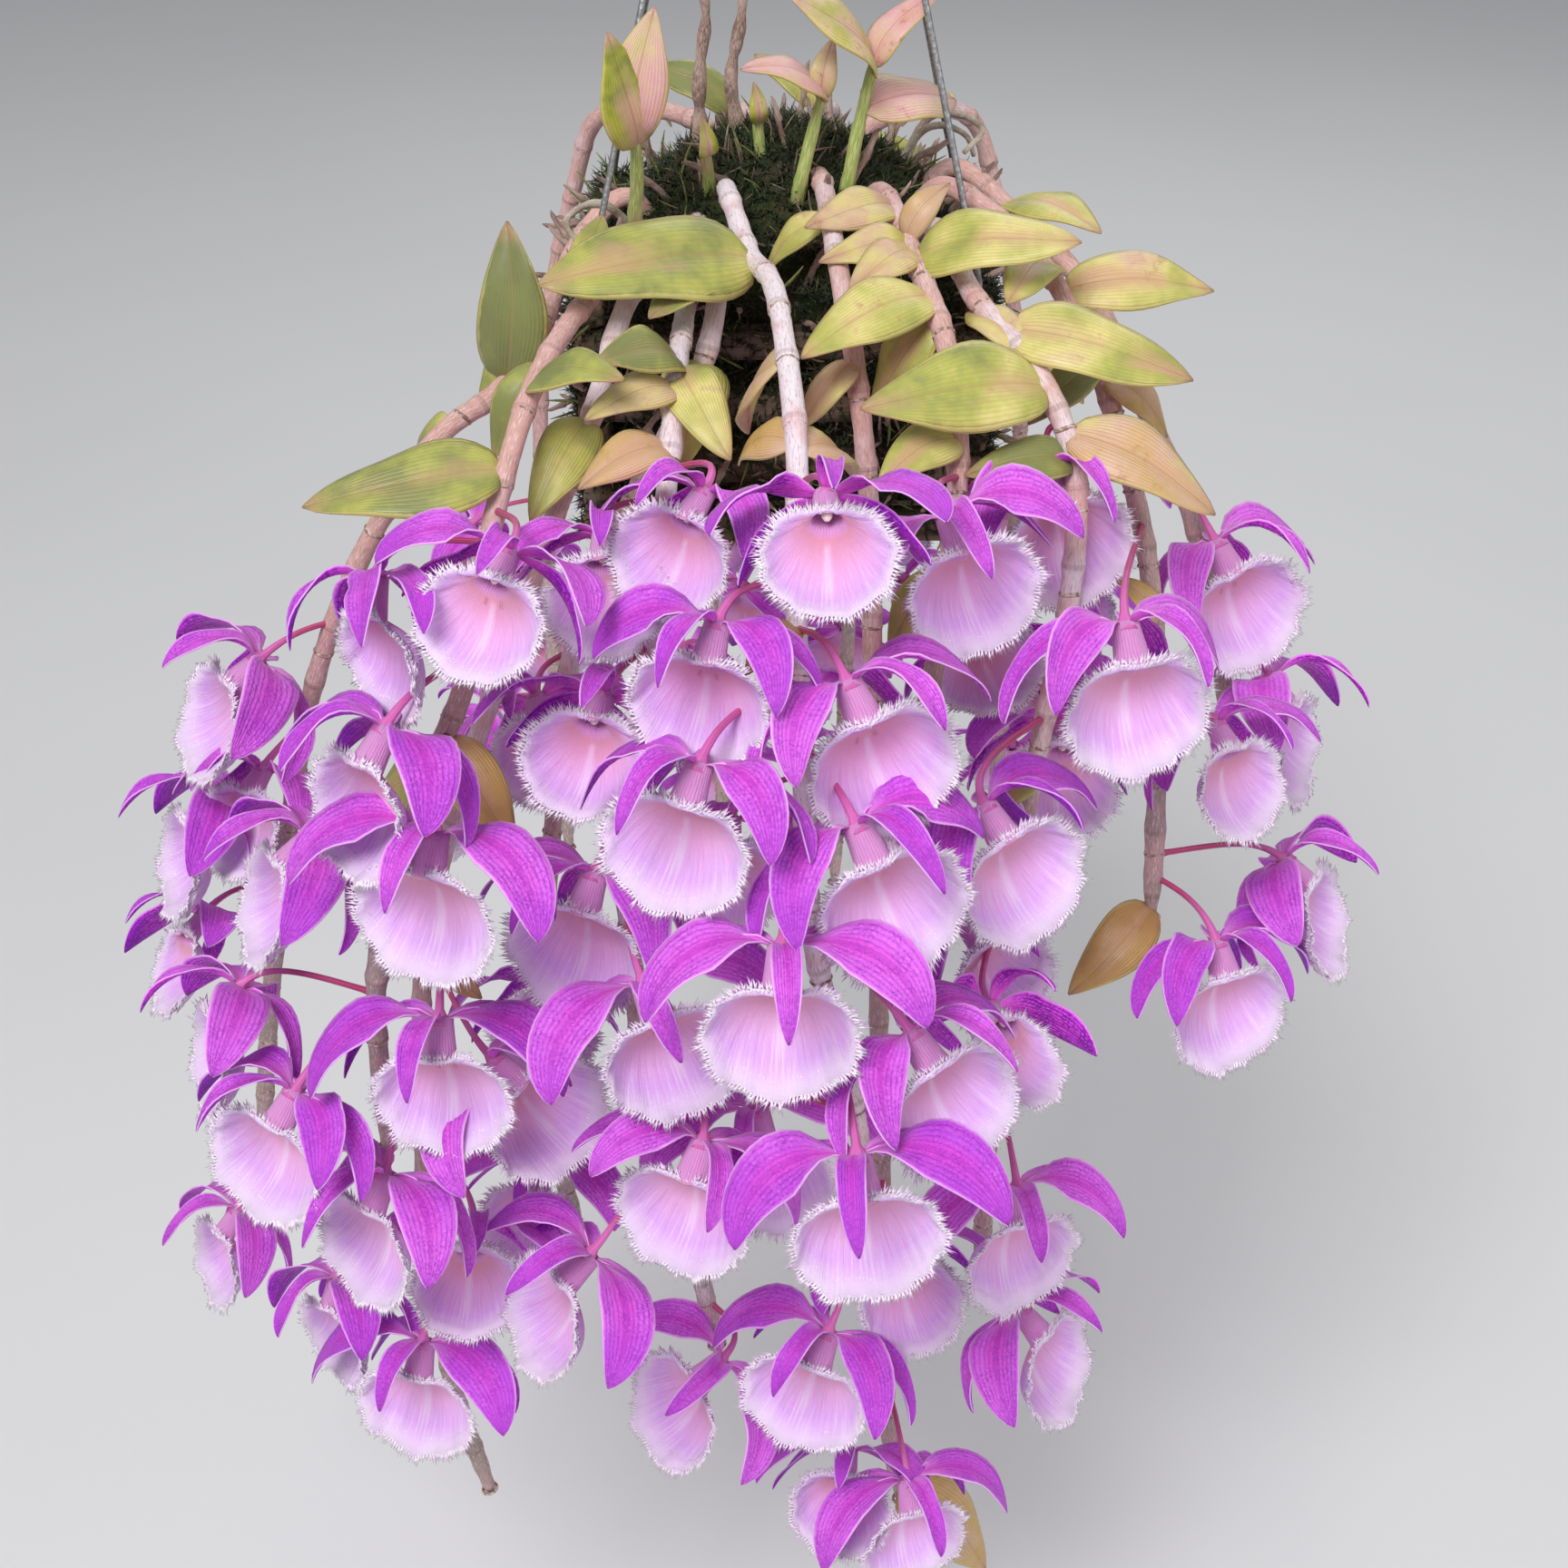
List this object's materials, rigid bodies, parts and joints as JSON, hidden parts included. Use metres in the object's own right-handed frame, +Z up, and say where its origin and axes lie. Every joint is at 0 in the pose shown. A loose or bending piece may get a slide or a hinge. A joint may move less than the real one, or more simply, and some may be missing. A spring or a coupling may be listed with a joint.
{
  "type": "hanging orchid plant",
  "caption": "Pendulous dendrobium in flower, its leafy canes arching out of a mossy slatted basket and hanging all round it, under wires and a hook.",
  "frame": {"origin": "the inside of the hook's crown, where the basket hangs", "axes": "+Z up; -Y to the side that the picture shows; +X to the right of that view"},
  "size_m": [0.3572, 0.432, 0.651],
  "materials": {
    "flowering_cane": "petal with fine veins on papery cane",
    "new_shoot": "smooth young leaf",
    "old_stem": "dry bark",
    "aerial_root": "matt root skin",
    "basket_wood": "weathered, damp",
    "moss": "rough, fibrous",
    "hanger_wire": "dull galvanised"
  },
  "bodies": {
    "root": {"cane_centre": "flowering_cane", "cane_left_front": "flowering_cane", "cane_left_low": "flowering_cane", "cane_centre_left": "flowering_cane", "cane_centre_right": "flowering_cane", "cane_right_inner": "flowering_cane", "cane_right_outer": "flowering_cane", "cane_right_back": "flowering_cane", "cane_centre_back": "flowering_cane", "cane_left_outer": "flowering_cane", "cane_left_inner": "flowering_cane", "cane_back_right": "flowering_cane", "cane_back_middle_right": "flowering_cane", "cane_back_middle_left": "flowering_cane", "cane_back_left": "flowering_cane", "shoot_left": "new_shoot", "shoot_bud_left": "new_shoot", "shoot_bud_middle": "new_shoot", "shoot_middle": "new_shoot", "shoot_right": "new_shoot", "old_stem_left": "old_stem", "old_stem_right": "old_stem", "root_right_back": "aerial_root", "root_right": "aerial_root", "root_left": "aerial_root", "basket_rail_1a": "basket_wood", "basket_rail_1b": "basket_wood", "basket_rail_2a": "basket_wood", "basket_rail_2b": "basket_wood", "basket_rail_3a": "basket_wood", "basket_rail_3b": "basket_wood", "basket_rail_4a": "basket_wood", "basket_rail_4b": "basket_wood", "basket_rail_5a": "basket_wood", "basket_rail_5b": "basket_wood", "basket_rail_6a": "basket_wood", "basket_rail_6b": "basket_wood", "basket_rail_7a": "basket_wood", "basket_rail_7b": "basket_wood", "basket_rail_8a": "basket_wood", "basket_rail_8b": "basket_wood", "basket_floor_slat_1": "basket_wood", "basket_floor_slat_2": "basket_wood", "basket_floor_slat_3": "basket_wood", "basket_floor_slat_4": "basket_wood", "moss": "moss", "hanger": "hanger_wire"}
  },
  "joints": []
}
